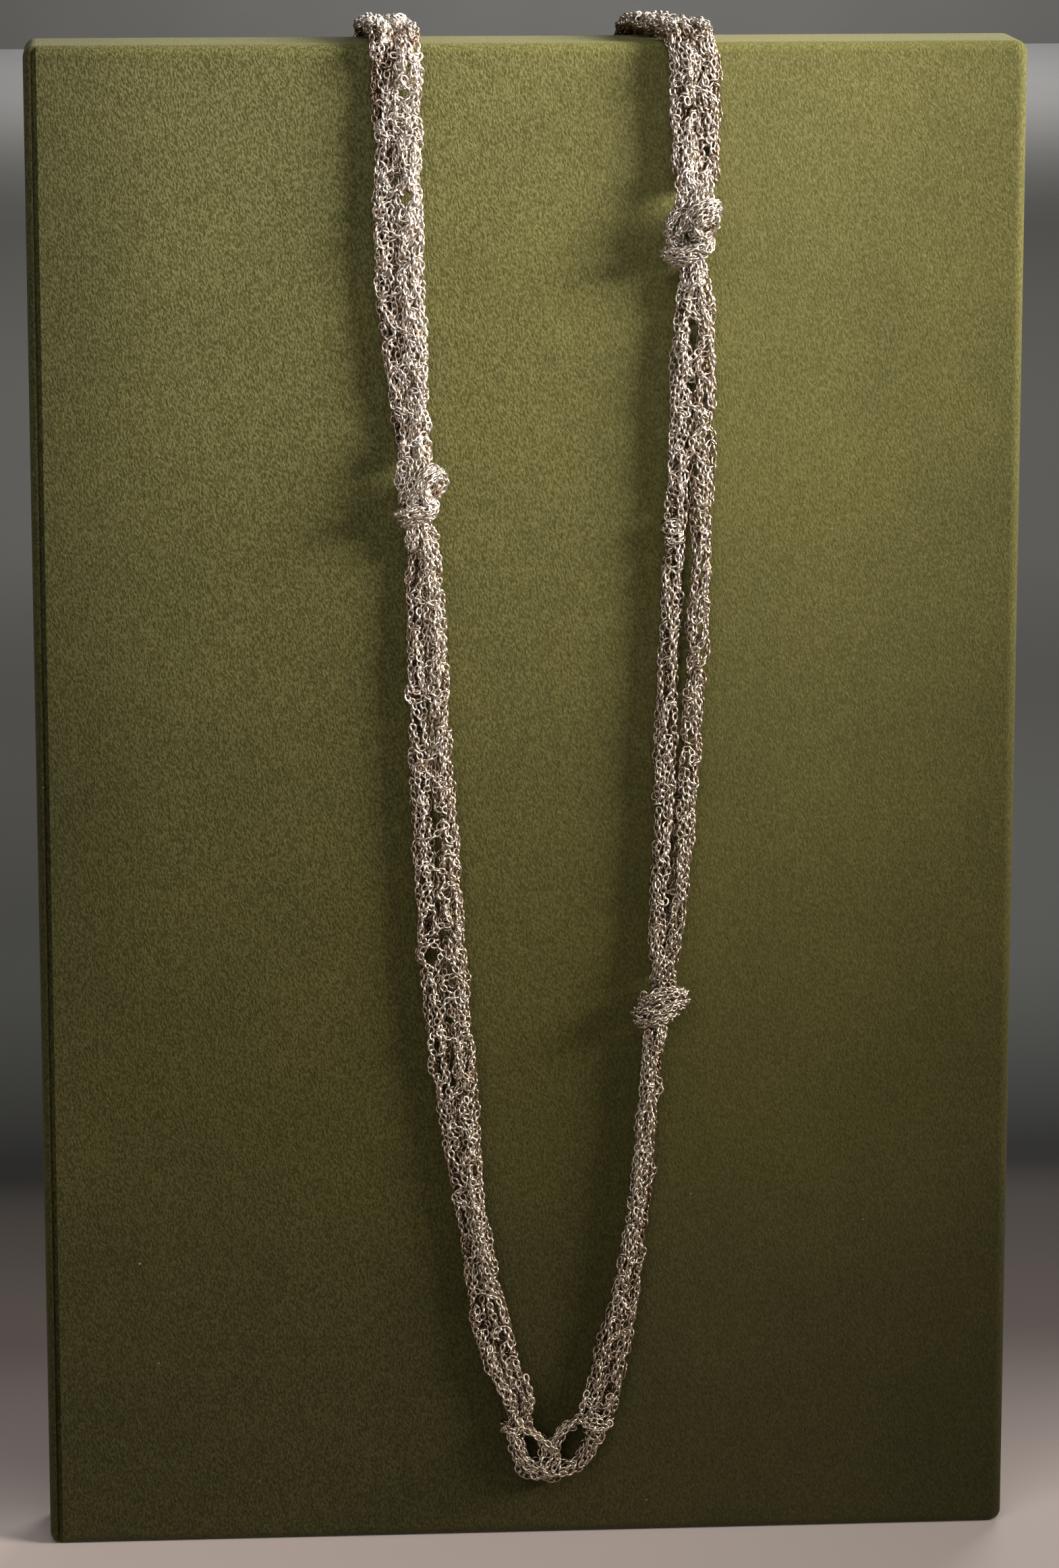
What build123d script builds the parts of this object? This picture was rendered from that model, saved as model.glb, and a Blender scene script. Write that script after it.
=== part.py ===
from build123d import *
import math
import os

# A long necklace, an endless band knitted from fine silver chain and tied in three knots,
# which hangs in a V over an upright board covered in velvet.
# X is across the board, the front faces -Y, and Z is up.
# The origin is the centre of the board's underside. All sizes are in millimetres.

os.makedirs("parts", exist_ok=True)

# Board
board_width = 202.0
board_height = 314.0
board_depth = 22.0
board_corner_radius = 2.4
board_edge_radius = 2.0
crease_inset = 2.1
crease_width = 1.1
crease_depth = 1.0

# Necklace
band_width = 10.0
band_thickness = 4.6
band_lobe_dip = 0.7
knot_edge_radius = 1.9
strand_spread = 60.0
foot_clearance = 11.4
back_drop = 88.0
seat_gap = 0.3

# Shift of each strand towards the left as it crosses the board's top
left_crossing_shift = 2.6
right_crossing_shift = 9.5

# Knots: how wide and how deep each one stands, and how high
knot_clearance = 0.45
knot_throat_width = 5.2
knot_throat_thickness = 3.8
knot_left_width = 10.2
knot_left_height = 15.0
knot_left_depth = 8.6
knot_upper_width = 12.6
knot_upper_height = 16.4
knot_upper_depth = 9.4
knot_lower_width = 12.4
knot_lower_height = 11.6
knot_lower_depth = 8.8

# Where the necklace hangs, from the board's top edge down to the lowest edge of the band
hang = board_height - foot_clearance

# Route of the band over the board's front, kept as chosen from what shows.
# Columns: how far down as a share of hang, how far across as a share of strand_spread,
# and the width as a share of band_width.
left_above_knot = [
    (0.030, -0.446, 1.05),
    (0.080, -0.442, 1.00),
    (0.140, -0.438, 1.02),
    (0.200, -0.422, 0.92),
    (0.245, -0.402, 0.74),
]
left_below_knot = [
    (0.375, -0.353, 0.80),
    (0.450, -0.345, 0.90),
    (0.525, -0.328, 1.00),
    (0.620, -0.300, 1.06),
    (0.710, -0.258, 0.96),
    (0.775, -0.222, 0.78),
    (0.825, -0.184, 0.64),
    (0.870, -0.148, 0.82),
    (0.912, -0.102, 0.76),
]
foot = [
    (0.945, -0.058, 0.60),
    (0.968, -0.031, 0.76),
    (0.979, 0.002, 1.00),
    (0.983, 0.065, 1.06),
    (0.978, 0.133, 1.04),
    (0.965, 0.187, 1.01),
    (0.945, 0.226, 0.92),
]
right_below_knots = [
    (0.912, 0.283, 0.80),
    (0.872, 0.325, 0.68),
    (0.813, 0.370, 0.58),
    (0.745, 0.404, 0.54),
    (0.695, 0.424, 0.54),
]
right_between_knots = [
    (0.610, 0.466, 0.72),
    (0.570, 0.484, 0.84),
    (0.520, 0.499, 0.94),
    (0.440, 0.516, 1.02),
    (0.350, 0.538, 1.02),
    (0.260, 0.549, 1.00),
    (0.185, 0.556, 0.86),
]
right_above_knots = [
    (0.070, 0.556, 1.02),
    (0.030, 0.552, 1.08),
]

# Knots on the route.
# Columns: how far down its middle is as a share of hang, how far across its upper and
# lower end are as shares of strand_spread, its height, width and depth.
knots = {
    "knot_left": (0.299, -0.378, -0.362, knot_left_height, knot_left_width, knot_left_depth),
    "knot_right_upper": (
        0.122, 0.556, 0.553, knot_upper_height, knot_upper_width, knot_upper_depth
    ),
    "knot_right_lower": (
        0.653, 0.450, 0.436, knot_lower_height, knot_lower_width, knot_lower_depth
    ),
}

# Outer form of a knot: a bulging turn at its upper right and a flatter wrap at its lower left.
# Columns: down as a share of its height, middle moved across as a share of its width,
# width and depth as shares of the knot's own.
knot_profile = [
    (0.00, 0.04, 0.72, 0.74),
    (0.14, 0.11, 0.84, 0.94),
    (0.32, 0.11, 0.86, 1.00),
    (0.50, 0.02, 0.84, 0.92),
    (0.62, -0.05, 0.86, 0.94),
    (0.80, -0.10, 0.90, 1.00),
    (0.93, -0.09, 0.84, 0.92),
    (1.00, -0.05, 0.72, 0.72),
]

# Gaps in the knitted band.
# Columns: how far down as a share of hang, how far across as a share of strand_spread,
# length along the strand and width across it as shares of band_width, and lean in degrees.
left_gaps = [
    (0.018, -0.442, 0.24, 0.11, 0),
    (0.034, -0.425, 0.20, 0.13, 0),
    (0.052, -0.410, 0.30, 0.12, 6),
    (0.078, -0.426, 0.26, 0.10, 0),
    (0.088, -0.402, 0.20, 0.13, 0),
    (0.104, -0.418, 0.22, 0.11, 0),
    (0.126, -0.425, 0.22, 0.11, 0),
    (0.160, -0.440, 0.24, 0.10, 0),
    (0.435, -0.386, 0.30, 0.15, 4),
    (0.449, -0.313, 0.24, 0.11, 4),
    (0.520, -0.318, 0.36, 0.14, 4),
    (0.541, -0.314, 0.26, 0.15, 4),
    (0.574, -0.291, 0.26, 0.14, 6),
    (0.598, -0.292, 0.38, 0.16, 6),
    (0.617, -0.343, 0.32, 0.20, -20),
    (0.639, -0.276, 0.32, 0.22, 30),
    (0.662, -0.274, 0.22, 0.16, 8),
    (0.671, -0.330, 0.22, 0.13, 8),
    (0.742, -0.254, 0.26, 0.12, 10),
    (0.759, -0.248, 0.22, 0.13, 10),
]
right_gaps = [
    (0.045, 0.565, 0.22, 0.11, 0),
    (0.196, 0.556, 0.78, 0.24, 4),
    (0.219, 0.543, 0.32, 0.18, 4),
    (0.241, 0.532, 0.20, 0.12, 4),
    (0.270, 0.525, 0.30, 0.14, 4),
    (0.298, 0.538, 0.24, 0.15, 4),
    (0.334, 0.541, 1.20, 0.20, 4),
    (0.377, 0.532, 1.10, 0.24, 2),
    (0.420, 0.528, 1.20, 0.22, 4),
    (0.462, 0.524, 1.00, 0.14, 4),
    (0.503, 0.536, 0.20, 0.14, 4),
    (0.525, 0.448, 0.24, 0.12, 6),
    (0.576, 0.492, 0.30, 0.12, 8),
]
foot_gaps = [
    (0.973, 0.143, 0.72, 0.30, -22),
    (0.973, 0.000, 0.50, 0.20, 0),
]

# Angles round the board's rounded top edges at which the band has a section
edge_turn_degrees = [0.0, 30.0, 60.0, 90.0]

# Sections along the hidden loop, as shares of its length from one side to the other
back_section_count = 24

front_face_y = -board_depth / 2
back_face_y = board_depth / 2
seat_radius = board_edge_radius + seat_gap + band_thickness / 2


def section_plane(centre, across, outward):
    """A plane square to the run, with X across the band and Y away from the board."""
    return Plane(origin=centre, x_dir=across, z_dir=across.cross(outward))


def band_section(centre, across, outward, width, thickness):
    """The band's outline: flat towards the board, with two soft lobes side by side in front."""
    side = width / 2
    face = thickness / 2
    corner = 0.4 * thickness
    dip = face - band_lobe_dip * thickness / band_thickness
    corner_middle = corner * (1 - math.sqrt(0.5))
    right_corner = ThreePointArc(
        (side - corner, -face), (side - corner_middle, -face + corner_middle), (side, -face + corner)
    )
    left_corner = ThreePointArc(
        (-side, -face + corner), (corner_middle - side, -face + corner_middle), (corner - side, -face)
    )
    right_lobe = ThreePointArc((side, -face + corner), (side / 2, face), (0, dip))
    left_lobe = ThreePointArc((0, dip), (-side / 2, face), (-side, -face + corner))
    back = Line((corner - side, -face), (side - corner, -face))
    outline = make_face([back, right_corner, right_lobe, left_lobe, left_corner])
    return section_plane(centre, across, outward) * outline


def knot_section(centre, across, outward, width, thickness):
    """A plain soft-cornered outline, for the turns of a knot and the bore through them."""
    radius = min(knot_edge_radius, 0.46 * min(width, thickness))
    return section_plane(centre, across, outward) * RectangleRounded(width, thickness, radius)


def route_length(sections):
    """The length of a run, from the middle of each section to the middle of the next."""
    middles = [piece.center() for piece in sections]
    return sum((after - before).length for before, after in zip(middles, middles[1:]))


def band_depth(width):
    """The band is as thick as it can be where it is drawn in to a narrow strand."""
    return min(band_thickness, 0.86 * width)


def strand_x(across):
    return across * strand_spread


def strand_z(down):
    return board_height - down * hang


def knot_lift(name):
    """How far the band's middle stands off the board's front where it runs through a knot."""
    return seat_gap + knots[name][5] / 2


def knot_stations(name, upward):
    """The band drawn in to pass straight through a knot, with an approach at each side."""
    down, across_top, across_bottom, height, width, depth = knots[name]
    middle_z = strand_z(down)
    x_top = strand_x(across_top)
    x_bottom = strand_x(across_bottom)
    slope = (x_top - x_bottom) / height
    reach = height / 2 + knot_clearance
    lift = knot_lift(name)
    y = front_face_y - lift
    rows = []
    for side in (1, -1):
        z = middle_z + side * reach
        x = (x_top + x_bottom) / 2 + side * reach * slope
        rows.append((x, y, z, knot_throat_width, knot_throat_thickness))
    return rows[::-1] if upward else rows


def front_rows(table):
    """Stations of the band lying on the board's front, from rows of shares."""
    rows = []
    for down, across, width_share in table:
        width = width_share * band_width
        thickness = band_depth(width)
        y = front_face_y - seat_gap - thickness / 2
        rows.append((strand_x(across), y, strand_z(down), width, thickness))
    return rows


def flat_sections(rows, outward):
    """Sections of rows that lie on one face of the board, each square to the route there."""
    sections = []
    for i, (x, y, z, width, thickness) in enumerate(rows):
        before = rows[max(i - 1, 0)]
        after = rows[min(i + 1, len(rows) - 1)]
        run = Vector(after[0] - before[0], 0, after[2] - before[2]).normalized()
        across = outward.cross(run)
        sections.append(band_section(Vector(x, y, z), across, outward, width, thickness))
    return sections


def crossing_sections(x_front, x_back, across, face_y, sign, rising):
    """Sections over one rounded top edge of the board, from its upright face to its top.

    sign is -1 at the front edge and +1 at the back edge.
    """
    pivot_y = face_y - sign * board_edge_radius
    pivot_z = board_height - board_edge_radius
    turns = edge_turn_degrees if rising else edge_turn_degrees[::-1]
    sections = []
    for degrees in turns:
        turn = math.radians(degrees)
        outward = Vector(0, sign * math.cos(turn), math.sin(turn))
        y = pivot_y + seat_radius * outward.Y
        z = pivot_z + seat_radius * outward.Z
        share = (y - front_face_y + seat_radius) / (board_depth + 2 * seat_radius)
        x = x_front + (x_back - x_front) * share
        sections.append(
            band_section(Vector(x, y, z), across, outward, band_width, band_thickness)
        )
    return sections


left_front_x = strand_x(left_above_knot[0][1])
right_front_x = strand_x(right_above_knots[-1][1])
left_back_x = left_front_x - left_crossing_shift
right_back_x = right_front_x - right_crossing_shift
top_y = 0.0
top_z = board_height + seat_gap + band_thickness / 2
left_top_x = (left_front_x + left_back_x) / 2
right_top_x = (right_front_x + right_back_x) / 2
front_out = Vector(0, -1, 0)
back_out = Vector(0, 1, 0)
up = Vector(0, 0, 1)
east = Vector(1, 0, 0)
west = Vector(-1, 0, 0)


def top_section(x, across):
    """The flat section on the board's top where the two halves of the band meet."""
    return band_section(Vector(x, top_y, top_z), across, up, band_width, band_thickness)


def front_band():
    """The stretch that shows: over the top, down the left, round the foot and up the right."""
    rows = front_rows(left_above_knot)
    rows += knot_stations("knot_left", upward=False)
    rows += front_rows(left_below_knot)
    rows += front_rows(foot)
    rows += front_rows(right_below_knots)
    rows += knot_stations("knot_right_lower", upward=True)
    rows += front_rows(right_between_knots)
    rows += knot_stations("knot_right_upper", upward=True)
    rows += front_rows(right_above_knots)
    sections = [top_section(left_top_x, east)]
    sections += crossing_sections(
        left_front_x, left_back_x, east, front_face_y, -1, rising=False
    )
    sections += flat_sections(rows, front_out)
    sections += crossing_sections(
        right_front_x, right_back_x, west, front_face_y, -1, rising=True
    )
    sections.append(top_section(right_top_x, west))
    return loft(sections, ruled=True), route_length(sections)


def gap_cutter(down, across, length_share, width_share, lean):
    """A slot with round ends that goes right through the band."""
    length = length_share * band_width
    width = width_share * band_width
    reach = seat_gap + 2 * band_thickness
    plane = Plane(
        origin=(strand_x(across), front_face_y, strand_z(down)),
        x_dir=Vector(0, 0, -1).rotate(Axis.Y, lean),
        z_dir=front_out,
    )
    return extrude(plane * SlotOverall(length, width), amount=reach)


def back_rows():
    """Stations of the hidden loop, the curve that a chain takes between its two sides."""
    half_span = (right_back_x - left_back_x) / 2
    middle_x = (right_back_x + left_back_x) / 2
    start_z = board_height - board_edge_radius
    curve = half_span
    for _ in range(60):
        curve = half_span / math.acosh(1 + back_drop / curve)
    lowest_z = start_z - back_drop
    half_length = curve * math.sinh(half_span / curve)
    rows = []
    for i in range(1, back_section_count):
        along = half_length * (1 - 2 * i / back_section_count)
        offset = curve * math.asinh(along / curve)
        z = lowest_z + math.hypot(curve, along) - curve
        y = back_face_y + seat_gap + band_thickness / 2
        rows.append((middle_x + offset, y, z, band_width, band_thickness))
    return rows


def back_band():
    """The hidden stretch, from the right of the top down the back and up to the left."""
    sections = [top_section(right_top_x, west)]
    sections += crossing_sections(
        right_front_x, right_back_x, west, back_face_y, 1, rising=False
    )
    sections += flat_sections(back_rows(), back_out)
    sections += crossing_sections(
        left_front_x, left_back_x, east, back_face_y, 1, rising=True
    )
    sections.append(top_section(left_top_x, east))
    return loft(sections, ruled=True), route_length(sections)


def knot(name):
    """The turns of a knot, hollow where the band runs through them."""
    down, across_top, across_bottom, height, width, depth = knots[name]
    top_z_here = strand_z(down) + height / 2
    y = front_face_y - knot_lift(name)
    x_top = strand_x(across_top)
    x_bottom = strand_x(across_bottom)
    outer = []
    for share, shift, width_share, depth_share in knot_profile:
        x = x_top + (x_bottom - x_top) * share + shift * width
        z = top_z_here - share * height
        outer.append(
            knot_section(
                Vector(x, y, z), east, front_out, width_share * width, depth_share * depth
            )
        )
    bore = []
    slope = (x_top - x_bottom) / height
    for side in (1, -1):
        reach = height / 2 + 2 * knot_clearance
        x = (x_top + x_bottom) / 2 + side * reach * slope
        z = strand_z(down) + side * reach
        bore.append(
            knot_section(
                Vector(x, y, z),
                east,
                front_out,
                knot_throat_width + 2 * knot_clearance,
                knot_throat_thickness + 2 * knot_clearance,
            )
        )
    return loft(outer, ruled=True) - loft(bore, ruled=True)


def display_board():
    """The velvet-covered board, soft at its corners and edges."""
    board = Box(
        board_width,
        board_depth,
        board_height,
        align=(Align.CENTER, Align.CENTER, Align.MIN),
    )
    board = fillet(board.edges().filter_by(Axis.Y), board_corner_radius)
    rims = board.faces().sort_by(Axis.Y)[0].edges() + board.faces().sort_by(Axis.Y)[-1].edges()
    board = fillet(rims, board_edge_radius)
    crease = Pos(-board_width / 2 + crease_inset, front_face_y, 0) * Box(
        crease_width,
        2 * crease_depth,
        board_height,
        align=(Align.CENTER, Align.CENTER, Align.MIN),
    )
    return board - crease


front, front_length = front_band()
for row in left_gaps + right_gaps + foot_gaps:
    front -= gap_cutter(*row)
back, back_length = back_band()

pieces = {
    "display_board": display_board(),
    "band_front": front,
    "band_back": back,
}
for name in knots:
    pieces[name] = knot(name)

for name, piece in pieces.items():
    export_step(piece, f"parts/{name}.step")
    print(name, "volume", round(piece.volume), "solids", len(piece.solids()))
print("front length", round(front_length), "hidden length", round(back_length))
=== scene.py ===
import math

import bpy
import numpy as np
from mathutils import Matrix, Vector


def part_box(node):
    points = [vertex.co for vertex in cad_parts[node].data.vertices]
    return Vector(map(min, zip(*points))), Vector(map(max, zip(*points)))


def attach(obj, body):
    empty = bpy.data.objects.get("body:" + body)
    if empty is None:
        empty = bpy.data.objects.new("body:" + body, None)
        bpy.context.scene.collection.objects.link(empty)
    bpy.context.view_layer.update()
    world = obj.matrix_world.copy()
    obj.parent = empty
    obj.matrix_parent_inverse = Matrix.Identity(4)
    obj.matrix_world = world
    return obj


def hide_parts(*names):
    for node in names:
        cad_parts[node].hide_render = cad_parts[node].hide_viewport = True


# The looks of a long necklace, a band knitted from fine silver chain and tied in three knots,
# which hangs in a V over an upright board covered in olive-green velvet.
# Lengths are in metres. X is across the board, the front faces -Y, and Z is up.

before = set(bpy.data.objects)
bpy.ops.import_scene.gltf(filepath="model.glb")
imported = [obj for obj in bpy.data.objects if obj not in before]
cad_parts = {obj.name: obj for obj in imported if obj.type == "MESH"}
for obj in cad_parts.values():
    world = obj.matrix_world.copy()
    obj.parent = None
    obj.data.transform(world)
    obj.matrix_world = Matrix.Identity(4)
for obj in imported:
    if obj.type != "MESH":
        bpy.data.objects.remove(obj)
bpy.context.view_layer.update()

mm = 0.001
random = np.random.default_rng(11)

# Board, as the frame has it
board_low, board_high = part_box("display_board")
front_y = board_low.y
back_y = board_high.y
board_height = board_high.z
board_edge_radius = 2.0 * mm

# Necklace: its band, what the routes' shares are taken of, and how it sits on the board
band_width = 10.0 * mm
band_thickness = 4.6 * mm
strand_spread = 60.0 * mm
foot_clearance = 11.4 * mm
back_drop = 88.0 * mm
seat_gap = 0.3 * mm
hang = board_height - foot_clearance
seat_radius = board_edge_radius + seat_gap + band_thickness / 2
left_crossing_shift = 2.6 * mm
right_crossing_shift = 9.5 * mm
band_middle_y = front_y - seat_gap - band_thickness / 2

# The direction in X of the inside of the V, seen from each strand
left_inward = 1
right_inward = -1

# The band's two strips: how far apart in depth where they overlap, how thick a narrow one is
# for its width, and their width and place where they cross the board's top
overlap_depth = 0.45
foot_roundness = 1.1
top_strip_width = 0.60 * band_width
top_strip_offset = 0.24 * band_width
edge_turns = (15, 40, 65, 90)

# The plain loop behind: rounds of solving for its curve, rows along it, and how many of them
# each of the two stretches that come over the top takes
curve_rounds = 60
back_stations = 24
edge_rows = 3

# One oval link of the cable chain, and how uneven its size and its roll in degrees are
link_length = 2.00 * mm
link_width = 1.45 * mm
wire_width = 0.32 * mm
wire_height = 0.37 * mm
link_pitch = 1.30 * mm
uneven_size = 0.02
uneven_roll = 25

# Room that the links need inside a strip's sides and faces and at the edge of a gap
side_margin = 0.42 * link_width
face_margin = 0.48 * link_width
gap_margin = 0.35 * link_width
gap_reach = 3.0 * mm
least_half_strip = 0.3 * mm

# Knitting: loops round the strip's tube, how far one course is from the next, and how far
# along the first course starts at most
wales = 3.2
close_wales = 5.0
back_wales = 2.8
knot_wales = 7
course = 5.0 * mm
start_spread = 0.4 * course

# One loop: its height, how uneven that is, how far round it strays in radians, how it leans,
# where round the strip it starts, how deep it lies, and how long its yarn is
loop_reach = 2.9 * mm
uneven_height = 0.27
uneven_turn = 0.50
loop_lean = 0.12
loop_start = 0.25
loop_layer = 0.94
loop_wave = 0.10
yarn_share = 4.4
points_per_loop = 48

# Which way the chain faces: sideways and outward shares, and what tips it to the front
side_pull = 0.5
outward_pull = 0.6
front_bias = 0.3

# How unevenly the chain lies, as pairs of a share of the route and a size
foot_loose = ((0, 2.0), (0.55, 2.0), (0.68, 2.4), (0.80, 2.0), (1, 1.8))
knot_loose = ((0, 1.4), (0.2, 2.6), (0.8, 2.6), (1, 1.4))
knot_sunk = 0.5

# Slow sways: the shares of their three waves, and what their sum is divided by
sway_shares = (1.0, 0.61, 0.37)
sway_peak = 1.4

# Each sway's size and the length of its longest wave
width_sway = (0.10, 15 * mm)
across_sway = (0.20 * mm, 13 * mm)
outward_sway = (0.16 * mm, 9 * mm)
along_sway = (0.50 * mm, 23 * mm)
crossing_sway = (0.25, 19 * mm)
winding_sway = (0.22, 11 * mm)
rise_sway = (0.7 * mm, 9 * mm)
roll_sway = (0.45, 17 * mm)

# Chains that cross from strip to strip: length of a crossing, how lopsided it is, and how wide,
# how far out and how wavy it lies as shares of the band
crossing_length = 9.0 * mm
crossing_skew = 0.15
crossing_width = 0.62
crossing_lift = 0.20
crossing_wave = 0.10

# The row between the right strand's knots from which its two strips are joined
first_joined_row = 6

# Chains wound round a strip: points in a turn, millimetres of sway in a turn, and how far the
# links lean forward
points_per_turn = 60
wound_per_turn = 12
winding_lift = 0.2 * mm

# How closely the routes are read
route_step = 0.25 * mm
joining_step = 0.15 * mm
loose_step = 0.2 * mm

# Routes of the two strips of the band over the board's front.
# Columns: how far down as a share of hang, how far across as a share of strand_spread,
# width of the band and the gap between its two strips as shares of band_width.
# Where the gap is below zero the strips lie over each other.
left_above_knot = [
    (0.006, -0.446, 1.08, -0.16),
    (0.030, -0.446, 1.06, -0.14),
    (0.080, -0.442, 1.02, -0.12),
    (0.140, -0.438, 1.02, -0.10),
    (0.200, -0.422, 0.94, -0.12),
    (0.245, -0.402, 0.78, -0.14),
    (0.276, -0.386, 0.68, -0.16),
]
left_below_knot = [
    (0.322, -0.366, 0.64, -0.16),
    (0.375, -0.353, 0.82, -0.10),
    (0.450, -0.345, 0.90, -0.06),
    (0.525, -0.328, 1.00, -0.04),
    (0.620, -0.300, 1.04, -0.04),
    (0.710, -0.258, 0.96, -0.06),
    (0.775, -0.222, 0.74, -0.12),
    (0.825, -0.184, 0.64, -0.16),
    (0.870, -0.148, 0.82, -0.06),
]
right_below_knots = [
    (0.872, 0.325, 0.66, -0.10),
    (0.813, 0.370, 0.52, -0.22),
    (0.745, 0.404, 0.47, -0.24),
    (0.695, 0.424, 0.48, -0.24),
    (0.674, 0.434, 0.50, -0.20),
]
right_between_knots = [
    (0.632, 0.457, 0.58, -0.16),
    (0.610, 0.466, 0.72, -0.08),
    (0.570, 0.484, 0.84, -0.04),
    (0.520, 0.499, 0.96, -0.04),
    (0.440, 0.516, 1.06, 0.02),
    (0.350, 0.538, 1.06, 0.03),
    (0.300, 0.544, 1.02, -0.04),
    (0.240, 0.551, 1.00, -0.08),
    (0.185, 0.556, 0.90, -0.02),
    (0.150, 0.554, 0.68, -0.10),
]
right_above_knots = [
    (0.094, 0.558, 0.94, -0.20),
    (0.070, 0.556, 1.00, -0.14),
    (0.030, 0.552, 1.10, -0.14),
    (0.006, 0.552, 1.08, -0.16),
]

# Routes of the two strips round the foot of the V, where they part.
# Columns: down as a share of hang, across as a share of strand_spread, width of the strip
# as a share of band_width.
outer_foot = [
    (0.9195, -0.112, 0.42),
    (0.9370, -0.066, 0.36),
    (0.9490, -0.054, 0.34),
    (0.9604, -0.052, 0.38),
    (0.9713, -0.043, 0.40),
    (0.9820, -0.020, 0.50),
    (0.9870, 0.022, 0.58),
    (0.9880, 0.070, 0.58),
    (0.9875, 0.119, 0.46),
    (0.9850, 0.160, 0.36),
    (0.9790, 0.190, 0.38),
    (0.9715, 0.213, 0.42),
    (0.9613, 0.234, 0.48),
    (0.9481, 0.257, 0.56),
    (0.9334, 0.280, 0.54),
    (0.9163, 0.302, 0.48),
]
inner_foot = [
    (0.9195, -0.050, 0.42),
    (0.9370, -0.016, 0.30),
    (0.9492, -0.012, 0.24),
    (0.9581, -0.004, 0.17),
    (0.9622, 0.024, 0.16),
    (0.9680, 0.048, 0.26),
    (0.9735, 0.072, 0.40),
    (0.9660, 0.095, 0.28),
    (0.9578, 0.121, 0.20),
    (0.9540, 0.159, 0.20),
    (0.9483, 0.192, 0.32),
    (0.9356, 0.218, 0.44),
    (0.9163, 0.246, 0.46),
]

# Gaps in the knitted band.
# Columns: how far down as a share of hang, how far across as a share of strand_spread,
# length along the strand and width across it as shares of band_width, and lean in degrees.
gaps = [
    (0.007, -0.452, 0.22, 0.10, 6),
    (0.031, -0.421, 0.20, 0.17, 0),
    (0.049, -0.431, 0.42, 0.11, 4),
    (0.087, -0.445, 0.30, 0.05, 0),
    (0.101, -0.416, 0.20, 0.14, 0),
    (0.116, -0.426, 0.18, 0.10, 0),
    (0.435, -0.386, 0.26, 0.10, 4),
    (0.520, -0.318, 0.34, 0.07, 4),
    (0.541, -0.314, 0.26, 0.10, 4),
    (0.574, -0.291, 0.24, 0.09, 6),
    (0.598, -0.292, 0.36, 0.10, 6),
    (0.617, -0.343, 0.32, 0.20, -20),
    (0.639, -0.276, 0.32, 0.16, 30),
    (0.662, -0.274, 0.22, 0.10, 8),
    (0.742, -0.254, 0.24, 0.08, 10),
    (0.192, 0.556, 0.44, 0.07, 4),
    (0.226, 0.543, 0.20, 0.05, 4),
    (0.268, 0.528, 0.20, 0.04, 4),
    (0.345, 0.540, 1.50, 0.04, 4),
    (0.415, 0.530, 0.90, 0.03, 4),
    (0.576, 0.492, 0.30, 0.08, 8),
]

# Knots: how far down the middle is, how far across its upper and lower end are, and the
# height, width and depth in metres
knots = {
    "knot_left": (0.299, -0.378, -0.362, 15.0 * mm, 10.2 * mm, 8.6 * mm),
    "knot_right_upper": (0.122, 0.556, 0.553, 16.4 * mm, 12.6 * mm, 9.4 * mm),
    "knot_right_lower": (0.653, 0.450, 0.436, 11.6 * mm, 12.4 * mm, 8.8 * mm),
}

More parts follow.
